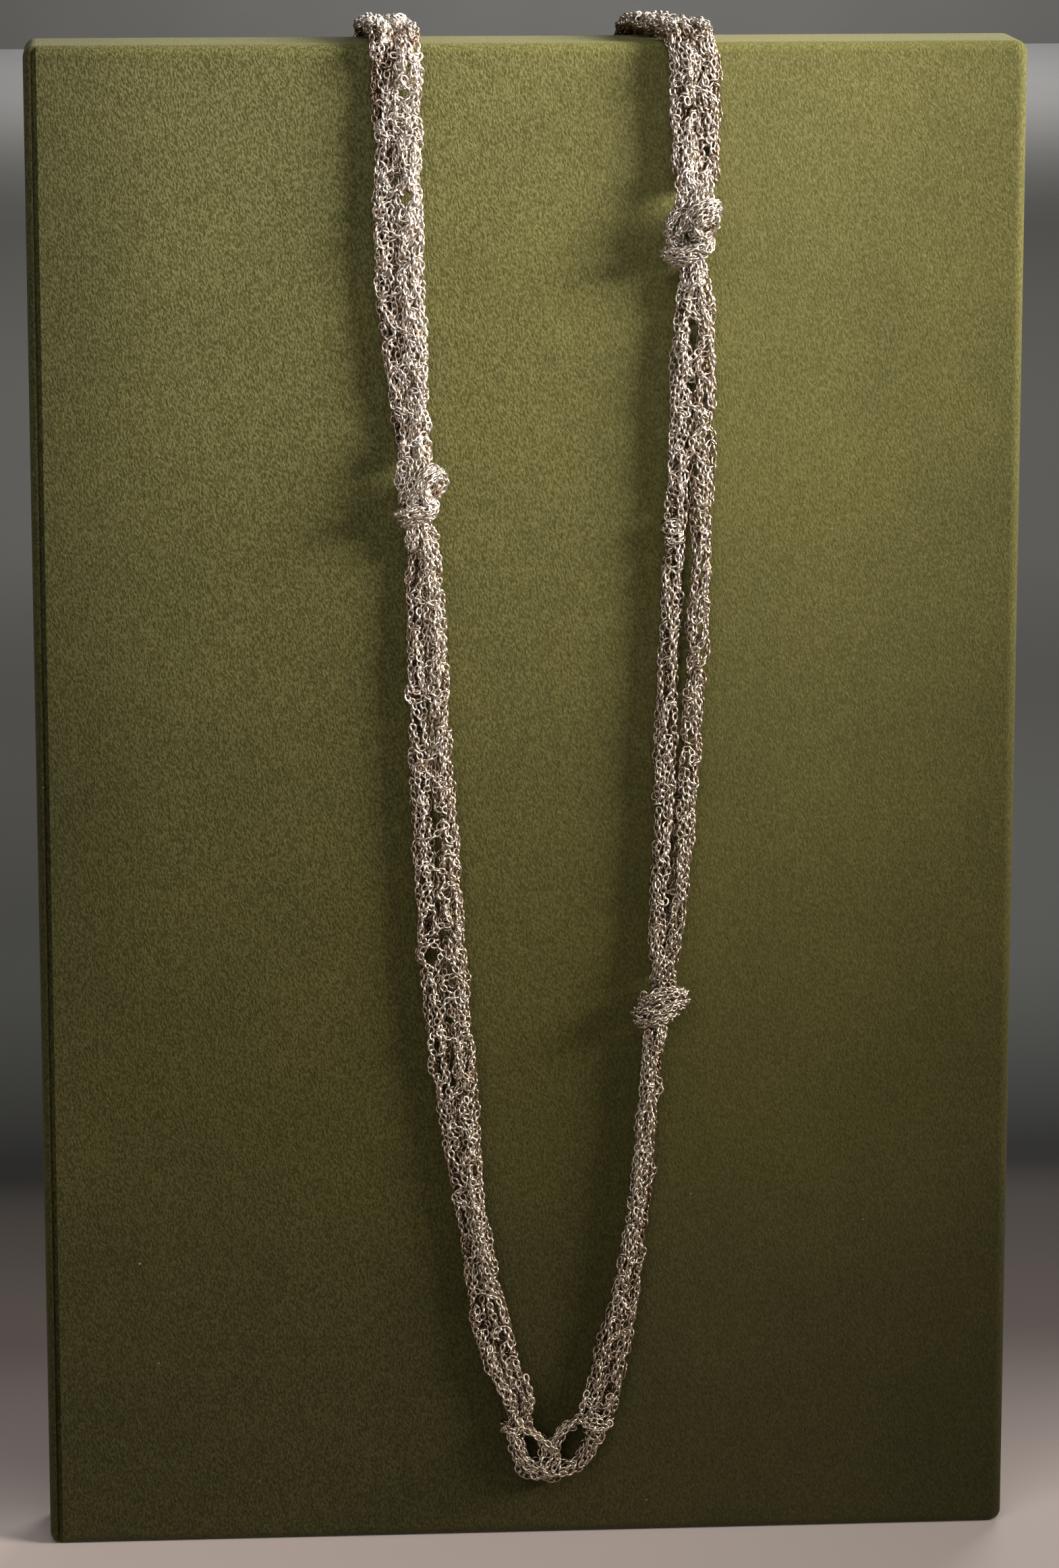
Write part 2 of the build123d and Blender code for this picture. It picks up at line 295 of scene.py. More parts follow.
# How the band runs through each overhand knot: in from above, behind, over at the upper right,
# once across the front at the lower left and out below.
# Columns: right, towards the viewer and up, as shares of the knot's width, depth and height,
# then width and thickness of the bundle as shares of band_width and band_thickness.
knot_turns = {
    "knot_left": [
        (-0.10, 0.02, 0.75, 0.80, 0.95),
        (-0.10, 0.02, 0.50, 0.80, 0.90),
        (-0.12, 0.04, 0.28, 0.72, 0.85),
        (-0.20, 0.14, 0.06, 0.68, 0.80),
        (-0.28, 0.06, -0.12, 0.60, 0.80),
        (-0.20, -0.18, -0.20, 0.52, 0.75),
        (0.06, -0.26, -0.08, 0.52, 0.75),
        (0.26, -0.14, 0.12, 0.52, 0.80),
        (0.34, 0.04, 0.30, 0.50, 0.80),
        (0.20, 0.24, 0.30, 0.56, 0.80),
        (0.02, 0.26, 0.14, 0.62, 0.75),
        (0.06, 0.20, 0.00, 0.62, 0.75),
        (0.20, 0.08, -0.08, 0.56, 0.75),
        (0.14, 0.24, -0.18, 0.52, 0.75),
        (-0.12, 0.29, -0.23, 0.52, 0.75),
        (-0.36, 0.14, -0.31, 0.50, 0.75),
        (-0.40, -0.06, -0.33, 0.50, 0.75),
        (-0.20, -0.22, -0.32, 0.52, 0.75),
        (-0.06, -0.10, -0.48, 0.60, 0.85),
        (-0.09, 0.00, -0.75, 0.66, 0.90),
    ],
    "knot_right_upper": [
        (0.00, 0.02, 0.70, 0.94, 0.95),
        (-0.02, 0.04, 0.50, 0.88, 0.90),
        (-0.10, 0.08, 0.32, 0.76, 0.85),
        (-0.22, 0.12, 0.14, 0.64, 0.80),
        (-0.34, 0.08, -0.02, 0.56, 0.80),
        (-0.28, -0.10, -0.18, 0.54, 0.75),
        (-0.04, -0.26, -0.22, 0.54, 0.75),
        (0.20, -0.22, -0.06, 0.54, 0.75),
        (0.29, -0.06, 0.12, 0.54, 0.80),
        (0.28, 0.14, 0.28, 0.54, 0.80),
        (0.12, 0.28, 0.24, 0.60, 0.80),
        (-0.05, 0.26, 0.10, 0.64, 0.75),
        (0.00, 0.20, -0.06, 0.62, 0.75),
        (0.20, 0.10, -0.14, 0.52, 0.75),
        (0.14, 0.24, -0.24, 0.52, 0.75),
        (-0.08, 0.30, -0.29, 0.52, 0.75),
        (-0.32, 0.18, -0.34, 0.50, 0.75),
        (-0.42, -0.02, -0.34, 0.50, 0.75),
        (-0.24, -0.24, -0.32, 0.52, 0.75),
        (-0.04, -0.16, -0.44, 0.60, 0.85),
        (0.00, 0.00, -0.70, 0.70, 0.90),
    ],
    "knot_right_lower": [
        (0.05, 0.02, 0.80, 0.68, 0.90),
        (0.06, -0.05, 0.50, 0.62, 0.85),
        (0.12, -0.20, 0.28, 0.56, 0.75),
        (0.30, -0.12, 0.16, 0.54, 0.75),
        (0.38, 0.06, 0.15, 0.54, 0.80),
        (0.24, 0.24, 0.16, 0.58, 0.80),
        (0.00, 0.28, 0.10, 0.60, 0.80),
        (-0.18, 0.20, 0.04, 0.58, 0.75),
        (-0.24, -0.06, 0.02, 0.54, 0.75),
        (-0.06, -0.26, -0.04, 0.52, 0.75),
        (0.14, -0.20, -0.12, 0.52, 0.75),
        (0.20, 0.06, -0.14, 0.54, 0.75),
        (0.08, 0.26, -0.15, 0.58, 0.80),
        (-0.12, 0.28, -0.19, 0.60, 0.80),
        (-0.32, 0.14, -0.20, 0.54, 0.75),
        (-0.34, -0.08, -0.20, 0.50, 0.75),
        (-0.16, -0.22, -0.26, 0.52, 0.75),
        (-0.02, -0.08, -0.46, 0.54, 0.80),
        (-0.02, 0.00, -0.80, 0.58, 0.90),
    ],
}

# Where a single chain is wound tightly round a strip of the band.
# Columns: down as a share of hang, across as a share of strand_spread, radius across and
# towards the viewer and height as shares of band_width, turns, and lean in degrees.
windings = [
    (0.327, 0.484, 0.17, 0.20, 0.50, 4, 14),
    (0.9566, -0.058, 0.20, 0.20, 0.16, 3, 4),
    (0.9545, 0.232, 0.30, 0.22, 0.20, 3, 6),
    (0.9830, 0.062, 0.26, 0.22, 0.30, 3, 80),
]

# Single chains that run free at the foot, each a list of places.
# Columns: down as a share of hang, across as a share of strand_spread, towards the viewer as
# a share of band_thickness from the middle of the band.
loose_chains = [
    [
        (0.9470, -0.045, 0.30),
        (0.9560, -0.018, 0.55),
        (0.9602, 0.018, 0.60),
        (0.9650, 0.055, 0.60),
        (0.9710, 0.085, 0.50),
        (0.9800, 0.098, 0.35),
        (0.9870, 0.080, 0.40),
    ],
    [
        (0.9490, 0.170, 0.30),
        (0.9540, 0.140, 0.45),
        (0.9600, 0.105, 0.50),
        (0.9660, 0.066, 0.30),
        (0.9740, 0.040, 0.10),
        (0.9830, 0.035, 0.30),
        (0.9920, 0.010, 0.30),
    ],
    [
        (0.9560, -0.075, 0.10),
        (0.9660, -0.040, 0.50),
        (0.9760, -0.020, 0.50),
        (0.9840, 0.030, 0.50),
        (0.9900, 0.090, 0.40),
        (0.9860, 0.150, 0.50),
    ],
    [
        (0.9150, -0.020, 0.30),
        (0.9280, -0.002, 0.50),
        (0.9420, 0.004, 0.40),
        (0.9500, -0.020, 0.20),
        (0.9580, -0.060, 0.50),
    ],
    [
        (0.9280, 0.205, 0.30),
        (0.9420, 0.180, 0.50),
        (0.9520, 0.180, 0.30),
        (0.9560, 0.225, 0.50),
        (0.9620, 0.262, 0.20),
    ],
]

# Floor, pale near the board and grey beyond it, and a far grey wall
stage_half = 2.5
far_y = 4.0
wall_height = 2.2
paper_end = 0.255
edge_blur = 0.004

# Lights. Columns: name, place, where it is aimed, size, power, spread in degrees and colour.
warm = (1.0, 0.97, 0.93)
cool = (0.95, 0.97, 1.0)
plain = (1.0, 0.99, 0.98)
lights = [
    ("key", (1.0, -0.40, 0.66), (0.0, 0.0, 0.46), (0.55, 0.42), 7.0, 49, warm),
    ("fill", (-0.15, -0.55, 0.72), (0.0, 0.0, 0.33), (0.6, 0.6), 1.25, 100, cool),
    ("low_light", (-0.30, -0.60, 0.10), (0.0, 0.0, 0.0), (0.5, 0.3), 0.22, 60, cool),
    ("ground_light", (0.0, 1.6, 1.6), (0.0, 1.4, 0.0), (1.2, 1.2), 3.0, 150, plain),
    ("far_light", (0.35, 3.4, 0.9), (0.35, 3.9, 0.0), (0.7, 0.4), 4.5, 150, plain),
    ("back_light", (0.5, 1.1, 0.7), (0.0, 0.0, 0.18), (0.6, 0.6), 1.4, 60, cool),
]

# Camera at the photograph's angle, level from side to side
camera_place = Vector((-79.26, -1120.89, 400.12)) * mm
camera_direction = Vector((0.06981, 0.97544, -0.20889))

# Colours, and the values between which most of a noise lies
white = (1.0, 1.0, 1.0)
black = (0.0, 0.0, 0.0)
noise_low = 0.3
noise_middle = 0.5
noise_high = 0.7

# A Mix node's sockets: its factor and the two things mixed, and its result
number_sockets = (0, 2, 3)
number_result = 0
colour_sockets = (0, 6, 7)
colour_result = 2


def unit(vectors):
    """Vectors scaled to a length of one."""
    return vectors / np.linalg.norm(vectors, axis=-1, keepdims=True)


def smooth_rows(rows, spacing):
    """Rows of a route, place in the first three columns, read along one smooth curve."""
    rows = np.array(rows, float)
    steps = np.linalg.norm(np.diff(rows[:, :3], axis=0), axis=1)
    along = np.concatenate([[0.0], np.cumsum(steps)])
    slopes = np.gradient(rows, along, axis=0)
    wanted = np.linspace(0, along[-1], int(along[-1] / spacing) + 2)
    i = np.clip(np.searchsorted(along, wanted, side="right") - 1, 0, len(along) - 2)
    span = (along[i + 1] - along[i])[:, None]
    t = ((wanted - along[i])[:, None]) / span
    start = (2 * t**3 - 3 * t**2 + 1) * rows[i] + (t**3 - 2 * t**2 + t) * span * slopes[i]
    end = (3 * t**2 - 2 * t**3) * rows[i + 1] + (t**3 - t**2) * span * slopes[i + 1]
    return start + end


def wander(length_along, reach, wave, draw):
    """A slow random sway along a length, the same on every run."""
    sway = np.zeros_like(length_along)
    for share in sway_shares:
        phase = draw.uniform(0, 2 * math.pi)
        sway += share * np.sin(2 * math.pi * length_along / (wave * share) + phase)
    return reach * sway / sway_peak


def front_place(down, across):
    """The X and Z of a place on the board's front."""
    return across * strand_spread, board_height - down * hang


def strip_row(x, y, z, outward, width, thickness):
    """A row of a strip: its place, outward direction, width and thickness."""
    return (x, y, z, *outward, width, thickness)


def front_strip(table, side, inward):
    """Rows of one strip of a strand. side is 1 for the strip towards the inside of the V."""
    rows = []
    for down, across, width_share, gap_share in table:
        width = width_share * band_width
        gap = gap_share * band_width
        middle_x, z = front_place(down, across)
        x = middle_x + side * inward * (width + gap) / 4
        overlap = max(0.0, -gap)
        y = band_middle_y - side * overlap_depth * overlap
        rows.append(strip_row(x, y, z, (0, -1, 0), (width - gap) / 2, band_thickness))
    return rows


def foot_strip(table):
    """Rows of one strip round the foot of the V, thinner where it is narrow."""
    rows = []
    for down, across, width_share in table:
        width = width_share * band_width
        thickness = min(band_thickness, foot_roundness * width)
        x, z = front_place(down, across)
        rows.append(strip_row(x, band_middle_y, z, (0, -1, 0), width, thickness))
    return rows


def edge_strip(x_front, x_back, side, inward, face_y, sign):
    """Rows of one strip over one rounded top edge, from the upright face to the top's middle.

    face_y is where that face of the board is, and sign is -1 at the front and 1 at the back.
    """
    pivot_y = face_y - sign * board_edge_radius
    pivot_z = board_height - board_edge_radius
    shift = side * inward * top_strip_offset
    rows = []
    for degrees in edge_turns:
        turn = math.radians(degrees)
        outward = (0, sign * math.cos(turn), math.sin(turn))
        y = pivot_y + seat_radius * outward[1]
        z = pivot_z + seat_radius * outward[2]
        share = (y - front_y + seat_radius) / (back_y - front_y + 2 * seat_radius)
        x = x_front + (x_back - x_front) * share + shift
        rows.append(strip_row(x, y, z, outward, top_strip_width, band_thickness))
    x = (x_front + x_back) / 2 + shift
    z = pivot_z + seat_radius
    rows.append(strip_row(x, 0.0, z, (0, 0, 1), top_strip_width, band_thickness))
    return rows


left_front_x = left_above_knot[0][1] * strand_spread
right_front_x = right_above_knots[-1][1] * strand_spread
left_back_x = left_front_x - left_crossing_shift
right_back_x = right_front_x - right_crossing_shift


def back_strip(side):
    """Rows of one strip down the board's back in the plain loop, right to left."""
    half_span = (right_back_x - left_back_x) / 2
    middle_x = (right_back_x + left_back_x) / 2
    start_z = board_height - board_edge_radius
    curve = half_span
    for _ in range(curve_rounds):
        curve = half_span / math.acosh(1 + back_drop / curve)
    half_length = curve * math.sinh(half_span / curve)
    rows = []
    for i in range(1, back_stations):
        along = half_length * (1 - 2 * i / back_stations)
        offset = curve * math.asinh(along / curve)
        z = start_z - back_drop + math.hypot(curve, along) - curve
        run = np.array([-curve, 0.0, -along]) / math.hypot(curve, along)
        across = np.cross((0, 1, 0), run)
        x = middle_x + offset + side * across[0] * band_width / 4
        z = z + side * across[2] * band_width / 4
        y = back_y + seat_gap + band_thickness / 2
        rows.append(strip_row(x, y, z, (0, 1, 0), band_width / 2, band_thickness))
    return rows


def knot_rows(name):
    """Rows of the band drawn in to a bundle and led through the turns of a knot."""
    down, across_top, across_bottom, height, width, depth = knots[name]
    middle_x, middle_z = front_place(down, (across_top + across_bottom) / 2)
    slope = (across_top - across_bottom) * strand_spread / height
    middle_y = front_y - seat_gap - depth / 2
    rows = []
    for right, near, up, width_share, thickness_share in knot_turns[name]:
        x = middle_x + right * width + up * height * slope
        y = middle_y - near * depth
        z = middle_z + up * height
        bundle = width_share * band_width
        thickness = thickness_share * band_thickness
        rows.append(strip_row(x, y, z, (0, -1, 0), bundle, thickness))
    return rows


class Route:
    """A smooth route that knows its own direction, the direction across it and outward."""

    def __init__(self, rows, carried=False):
        samples = smooth_rows(rows, route_step)
        self.place = samples[:, :3]
        self.width = samples[:, 6]
        self.thickness = samples[:, 7]
        self.run = unit(np.gradient(self.place, axis=0))
        steps = np.linalg.norm(np.diff(self.place, axis=0), axis=1)
        self.along = np.concatenate([[0.0], np.cumsum(steps)])
        outward = samples[:, 3:6]
        if carried:
            outward = self.carry(outward)
        self.across = unit(np.cross(outward, self.run))
        self.outward = unit(np.cross(self.run, self.across))

    def carry(self, outward):
        """The first outward direction carried along the route without needless twist."""
        carried = [unit(outward[0] - self.run[0] * (outward[0] @ self.run[0]))]
        for run in self.run[1:]:
            last = carried[-1]
            carried.append(unit(last - run * (last @ run)))
        carried = np.array(carried)
        end = unit(outward[-1] - self.run[-1] * (outward[-1] @ self.run[-1]))
        turned = np.cross(carried[-1], end) @ self.run[-1]
        missing = math.atan2(turned, carried[-1] @ end)
        turn = missing * self.along / self.along[-1]
        side = np.cross(self.run, carried)
        return carried * np.cos(turn)[:, None] + side * np.sin(turn)[:, None]

    def at(self, values, along):
        """Values known at each sample of the route, read at other lengths along it."""
        if values.ndim == 1:
            return np.interp(along, self.along, values)
        columns = [np.interp(along, self.along, column) for column in values.T]
        return np.stack(columns, axis=-1)

    def points(self, along, aside, out):
        """Places at lengths along the route, moved aside and out from its middle."""
        place = self.at(self.place, along)
        across = self.at(self.across, along)
        outward = self.at(self.outward, along)
        return place + across * aside[:, None] + outward * out[:, None]


def knit(route, draw, loops_round=wales, start=0.0, sunk=0.25, loose=((0, 2.0), (1, 2.0))):
    """The path of one chain knitted round and round along a route: its points, and the way
    each faces.

    sunk is how far into the strip some of the loops lie. loose is how unevenly they lie, as
    pairs of a share of the route and a size.
    """
    end = route.along[-1]
    count = int((end - start) / course * loops_round)
    n = np.arange(count * points_per_loop) / points_per_loop
    progress = start + n * course / loops_round
    tall = 1 + draw.normal(0, uneven_height, count + 2)
    tall = np.interp(n, np.arange(count + 2) - 0.5, tall)
    astray = np.interp(n, np.arange(count + 2), draw.normal(0, uneven_turn, count + 2))
    turn = 2 * math.pi * n
    lean = loop_lean * np.sin(2 * turn)
    angle = 2 * math.pi / loops_round * (n + lean + loop_start) + astray
    along = np.clip(progress + loop_reach * tall * np.cos(turn), 0, end)
    half_width = np.maximum(route.at(route.width, along) / 2 - side_margin, least_half_strip)
    half_width = half_width * (1 + wander(progress, *width_sway, draw))
    half_depth = np.maximum(route.at(route.thickness, along) / 2 - face_margin, least_half_strip)
    depths = 1 - sunk * draw.uniform(0, 1, count + 2)
    depths = np.interp(n, np.arange(count + 2) - 0.5, depths)
    layer = (loop_layer - loop_wave * np.cos(2 * turn)) * depths
    yarn_length = n * yarn_share * loop_reach
    shares, sizes = zip(*loose)
    size = np.interp(progress / end, shares, sizes)
    sway_across = size * wander(yarn_length, *across_sway, draw)
    sway_out = size * wander(yarn_length, *outward_sway, draw)
    sway_along = size * wander(yarn_length, *along_sway, draw)
    along = np.clip(along + sway_along, 0, end)
    aside = half_width * layer * np.cos(angle) + sway_across
    out = half_depth * layer * np.sin(angle) + sway_out
    points = route.points(along, aside, out)
    across = route.at(route.across, along)
    outward = route.at(route.outward, along)
    side = np.cos(angle)[:, None] * across * side_pull + np.sin(angle)[:, None] * outward
    front_or_back = np.sign(np.sin(angle) + front_bias)[:, None]
    facing = unit(side + outward_pull * outward * front_or_back)
    return points, facing


def open_gaps(points):
    """Moves the points of a chain on the board's front aside, clear of the band's gaps."""
    moved = points.copy()
    on_front = points[:, 1] < front_y
    for down, across, length_share, width_share, lean in gaps:
        tilt = math.radians(lean)
        middle = np.array(front_place(down, across))
        flat = moved[:, [0, 2]] - middle
        down_run = np.array([-math.sin(tilt), -math.cos(tilt)])
        sideways = np.array([math.cos(tilt), -math.sin(tilt)])
        along = flat @ down_run
        aside = flat @ sideways
        half_length = length_share * band_width / 2 + gap_margin
        lens = np.sqrt(np.clip(1 - (along / half_length) ** 2, 0, 1))
        clear = (width_share * band_width / 2 + gap_margin) * lens
        pushed = clear + np.abs(aside) * (gap_reach - clear) / gap_reach
        near = on_front & (np.abs(aside) < gap_reach)
        shift = np.where(near, pushed - np.abs(aside), 0) * np.sign(aside)
        moved[:, 0] += shift * sideways[0]
        moved[:, 2] += shift * sideways[1]
    return moved


def joining_chain(table, inward, draw):
    """A chain that runs to and fro across the front, from one strip of the band to the other."""
    route = Route(front_strip(table, 0, inward))
    along = np.arange(0, route.along[-1], joining_step)
    step = along / crossing_length + wander(along, *crossing_sway, draw)
    swing = np.sin(math.pi * step) + crossing_skew * np.sin(2 * math.pi * step + 1.0)
    aside = crossing_width * route.at(route.width, along) * swing
    lift = crossing_lift + crossing_wave * np.cos(2 * math.pi * step)
    out = route.at(route.thickness, along) * lift
    return open_gaps(route.points(along, aside, out)), route.at(route.outward, along)


def winding(down, across, radius_across, radius_out, height, turns, lean, draw):
    """A chain wound round a strip of the band at one place on the front."""
    turn = np.linspace(0, 2 * math.pi * turns, points_per_turn * turns)
    wound = turn / (2 * math.pi) * wound_per_turn * mm
    swing = wander(wound, *winding_sway, draw)
    aside = radius_across * band_width * (1 + swing) * np.cos(turn)
    out = radius_out * band_width * np.sin(turn)
    rise = height * band_width * (turn / turn[-1] - 0.5)
    rise = rise + wander(wound, *rise_sway, draw)
    tilt = math.radians(lean)
    middle_x, middle_z = front_place(down, across)
    x = middle_x + aside * math.cos(tilt) - rise * math.sin(tilt)
    z = middle_z + aside * math.sin(tilt) + rise * math.cos(tilt)
    points = np.stack([x, band_middle_y - out, z], axis=-1)
    middle = np.array([middle_x, band_middle_y, 0])
    facing = unit((points - middle) * [1, 1, 0] + [0, -winding_lift, 0])
    return points, facing


def loose_chain(table):
    """A single chain led freely through places on the front."""
    rows = []
    for down, across, near in table:
        x, z = front_place(down, across)
        y = front_y - seat_gap - (0.5 + near) * band_thickness
        rows.append(strip_row(x, y, z, (0, -1, 0), link_width, link_width))
    samples = smooth_rows(rows, loose_step)
    return samples[:, :3], samples[:, 3:6]


def link_places(points, facing, draw):
    """Where each link of a chain lies: its middle, its long direction and its flat side."""
    steps = np.linalg.norm(np.diff(points, axis=0), axis=1)
    along = np.concatenate([[0.0], np.cumsum(steps)])
    middles = np.arange(link_pitch, along[-1] - link_pitch, link_pitch)

    def read(where, values):
        return np.stack([np.interp(where, along, column) for column in values.T], axis=-1)

    middle = read(middles, points)
    after = read(middles + link_pitch / 2, points)
    run = unit(after - read(middles - link_pitch / 2, points))
    normal = read(middles, facing)
    normal = unit(normal - run * np.sum(normal * run, axis=1, keepdims=True))
    side = np.cross(run, normal)
    count = len(middles)
    roll = np.where(np.arange(count) % 2 == 0, 0.0, math.pi / 2)
    roll = roll + np.radians(draw.normal(0, uneven_roll, count))
    roll = roll + wander(middles, *roll_sway, draw)
    turned = normal * np.cos(roll)[:, None] + side * np.sin(roll)[:, None]
    return middle, run, turned


def link_form(sides=4, turns=4):
    """One oval link lying in its own X and Y: points, and the four corners of each face.

    sides is how many sides its wire has, and turns is how many steps each rounded end has.
    """
    end_radius = (link_width - wire_width) / 2
    straight = (link_length - wire_width) / 2 - end_radius
    swell = 1 / math.cos(math.pi / sides)
    ring = []
    for end in (0, 1):
        for step in range(turns + 1):
            angle = -math.pi / 2 + math.pi * step / turns + math.pi * end
            outward = np.array([math.cos(angle), math.sin(angle), 0.0])
            middle = np.array([straight if end == 0 else -straight, 0.0, 0.0])
            ring.append((middle + end_radius * outward, outward))
    up = np.array([0.0, 0.0, 1.0])
    points = []
    for middle, outward in ring:
        for k in range(sides):
            angle = 2 * math.pi * (k + 0.5) / sides
            flat = wire_width / 2 * swell * math.cos(angle) * outward
            high = wire_height / 2 * swell * math.sin(angle) * up
            points.append(middle + flat + high)
    faces = []
    for i in range(len(ring)):
        here = i * sides
        after = (i + 1) % len(ring) * sides
        for k in range(sides):
            beside = (k + 1) % sides
            faces.append((here + k, after + k, after + beside, here + beside))
    return np.array(points), np.array(faces)


def add_object(name, data):
    """A new object in the scene."""
    added = bpy.data.objects.new(name, data)
    bpy.context.scene.collection.objects.link(added)
    return added


def mesh_object(name, points, faces):
    """A smooth-shaded mesh from arrays of points and of the corners of its faces."""
    mesh = bpy.data.meshes.new(name)
    mesh.vertices.add(len(points))
    mesh.vertices.foreach_set("co", points.astype(np.float32).ravel())
    mesh.loops.add(faces.size)
    mesh.loops.foreach_set("vertex_index", faces.astype(np.int32).ravel())
    mesh.polygons.add(len(faces))
    starts = np.arange(len(faces), dtype=np.int32) * faces.shape[1]
    mesh.polygons.foreach_set("loop_start", starts)
    mesh.polygons.foreach_set("use_smooth", np.ones(len(faces), dtype=bool))
    mesh.update(calc_edges=True)
    mesh.validate()
    return add_object(name, mesh)


def chain_piece(name, placed, form, draw):
    """All links of one stretch of chain, joined into one mesh."""
    middle, run, normal = [np.concatenate(part) for part in zip(*placed)]
    shape, faces = form
    side = np.cross(normal, run)
    size = 1 + draw.normal(0, uneven_size, len(middle))[:, None, None]
    spread = (
        run[:, None, :] * shape[None, :, 0:1]
        + side[:, None, :] * shape[None, :, 1:2]
        + normal[:, None, :] * shape[None, :, 2:3]
    )
    points = (middle[:, None, :] + spread * size).reshape(-1, 3)
    starts = np.arange(len(middle)) * len(shape)
    all_faces = (faces[None, :, :] + starts[:, None, None]).reshape(-1, 4)
    return mesh_object(name, points, all_faces)


def fill(tree, socket, value):
    """Sets a socket to a value, or links it to another socket."""
    if isinstance(value, bpy.types.NodeSocket):
        tree.links.new(value, socket)
    else:
        socket.default_value = value


def fill_named(tree, made, **inputs):
    """Sets or links the inputs of a node by their names."""
    for name, value in inputs.items():
        fill(tree, made.inputs[name.replace("_", " ")], value)


def node(tree, kind, **inputs):
    """A shader node with the named inputs set to values or linked to sockets."""
    made = tree.nodes.new(kind)
    fill_named(tree, made, **inputs)
    return made


def noise(tree, coordinates, **inputs):
    """A noise value, about 0.5 on average."""
    return node(tree, "ShaderNodeTexNoise", Vector=coordinates, **inputs).outputs["Fac"]


def bumps(tree, height, strength, distance):
    """The direction of a surface that a height makes uneven."""
    made = node(tree, "ShaderNodeBump", Height=height, Strength=strength, Distance=distance)
    return made.outputs["Normal"]


def calculated(tree, operation, *values):
    """A number worked out from values or sockets."""
    made = tree.nodes.new("ShaderNodeMath")
    made.operation = operation
    for socket, value in zip(made.inputs, values):
        fill(tree, socket, value)
    return made.outputs["Value"]


def new_material(name):
    """A new material, its nodes, its shader and the coordinates of its surface."""
    material = bpy.data.materials.new(name)
    material.use_nodes = True
    tree = material.node_tree
    shader = tree.nodes["Principled BSDF"]
    coordinates = tree.nodes.new("ShaderNodeTexCoord").outputs["Object"]
    return material, tree, shader, coordinates


def grey(level):
    """A grey of one level."""
    return (level, level, level)


def colour_ramp(tree, factor, stops):
    """A colour ramp through stops of position and colour."""
    ramp = node(tree, "ShaderNodeValToRGB", Fac=factor)
    elements = ramp.color_ramp.elements
    while len(elements) < len(stops):
        elements.new(0.5)
    for element, (position, colour) in zip(elements, stops):
        element.position = position
        element.color = (*colour, 1.0)
    return ramp.outputs["Color"]


def read_between(tree, value, start, end, low=0.0, high=1.0):
    """A value read from start to end, and spread over the range from low to high."""
    made = node(tree, "ShaderNodeMapRange", Value=value, From_Min=start, From_Max=end)
    fill_named(tree, made, To_Min=low, To_Max=high)
    return made.outputs["Result"]


def place_share(tree, coordinates, axis, start, end):
    """How far a place is on the way from start to end along one axis, as a share."""
    parts = node(tree, "ShaderNodeSeparateXYZ", Vector=coordinates)
    return read_between(tree, parts.outputs[axis], start, end)


def height_share(tree, coordinates):
    """How high a place is, as a share of the board's height."""
    return place_share(tree, coordinates, "Z", 0.0, board_height)


def breadth_share(tree, coordinates):
    """How far a place is from the board's left side, as a share of the board's breadth."""
    return place_share(tree, coordinates, "X", board_low.x, board_high.x)


def depth_over_board(tree, coordinates):
    """How far a place stands off the board, as a share of the way to the band's outer side."""
    parts = node(tree, "ShaderNodeSeparateXYZ", Vector=coordinates)
    either_side = calculated(tree, "ABSOLUTE", parts.outputs["Y"])
    off_face = calculated(tree, "SUBTRACT", either_side, back_y)
    off_top = calculated(tree, "SUBTRACT", parts.outputs["Z"], board_height)
    larger = calculated(tree, "MAXIMUM", off_face, off_top)
    return read_between(tree, larger, 0.0, seat_gap + band_thickness)


def mix(tree, kind, sockets, *values):
    """A Mix node for numbers or colours, with its factor and the two things that it mixes."""
    made = tree.nodes.new("ShaderNodeMix")
    made.data_type = kind
    for socket, value in zip(sockets, values):
        fill(tree, made.inputs[socket], value)
    return made


def mixed_colour(tree, factor, first, second, blend="MIX"):
    """Two colours mixed by a factor, each a value or a socket."""
    made = mix(tree, "RGBA", colour_sockets, factor, first, second)
    made.blend_type = blend
    return made.outputs[colour_result]


def multiplied(tree, first, second, factor=1.0):
    """The first colour multiplied by the second, as far as the factor says."""
    return mixed_colour(tree, factor, first, second, "MULTIPLY")


def contrasted(tree, value, strength):
    """A noise value moved away from its middle by a strength that may be above 1."""
    made = mix(tree, "FLOAT", number_sockets, strength, noise_middle, value)
    made.clamp_factor = False
    return made.outputs[number_result]


